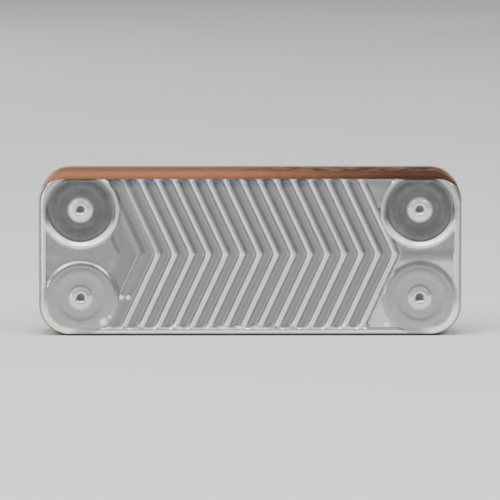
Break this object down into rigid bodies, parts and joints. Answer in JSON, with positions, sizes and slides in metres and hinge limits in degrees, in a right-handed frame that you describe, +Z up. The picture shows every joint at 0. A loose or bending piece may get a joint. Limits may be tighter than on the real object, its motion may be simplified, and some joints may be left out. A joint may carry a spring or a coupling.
{
  "type": "plate heat exchanger",
  "caption": "Brazed plate heat exchanger for a combination boiler: slim stack of herringbone-pressed steel plates with copper seams, blind cover, and ported mounting plate.",
  "frame": {"origin": "middle of the mounting plate's outer face, between the two threaded bushes", "axes": "+Y out of the ports, away from the plate stack; +X along the length, to the right as seen from the blind cover; +Z up"},
  "size_m": [0.192, 0.0318, 0.075],
  "materials": {
    "cover_steel": "satin pressed stainless steel, faintly mottled",
    "plate_steel": "furnace-dulled stainless steel washed with copper",
    "mounting_steel": "flat rolled stainless steel sheet, dull",
    "braze_copper": "braze copper, patchy and slightly tarnished",
    "machined_steel": "turned steel with fine tool marks",
    "gasket_rubber": "matte black moulded rubber"
  },
  "bodies": {
    "root": {"rear_cover_plate": "cover_steel", "port_end_plate": "plate_steel", "mounting_plate": "mounting_steel", "mounting_braze_seam": "braze_copper", "channel_plate_1": "plate_steel", "channel_plate_2": "plate_steel", "channel_plate_3": "plate_steel", "channel_plate_4": "plate_steel", "channel_plate_5": "plate_steel", "channel_plate_6": "plate_steel", "channel_plate_7": "plate_steel", "channel_plate_8": "plate_steel", "braze_seam_1": "braze_copper", "braze_seam_2": "braze_copper", "braze_seam_3": "braze_copper", "braze_seam_4": "braze_copper", "braze_seam_5": "braze_copper", "braze_seam_6": "braze_copper", "braze_seam_7": "braze_copper", "braze_seam_8": "braze_copper", "braze_seam_9": "braze_copper", "port_collar_upper_left": "machined_steel", "port_gasket_upper_left": "gasket_rubber", "port_collar_upper_right": "machined_steel", "port_gasket_upper_right": "gasket_rubber", "port_collar_lower_left": "machined_steel", "port_gasket_lower_left": "gasket_rubber", "port_collar_lower_right": "machined_steel", "port_gasket_lower_right": "gasket_rubber", "port_spacer_ring_left": "machined_steel", "threaded_bush_left": "machined_steel", "port_spacer_ring_right": "machined_steel", "threaded_bush_right": "machined_steel"}
  },
  "joints": []
}
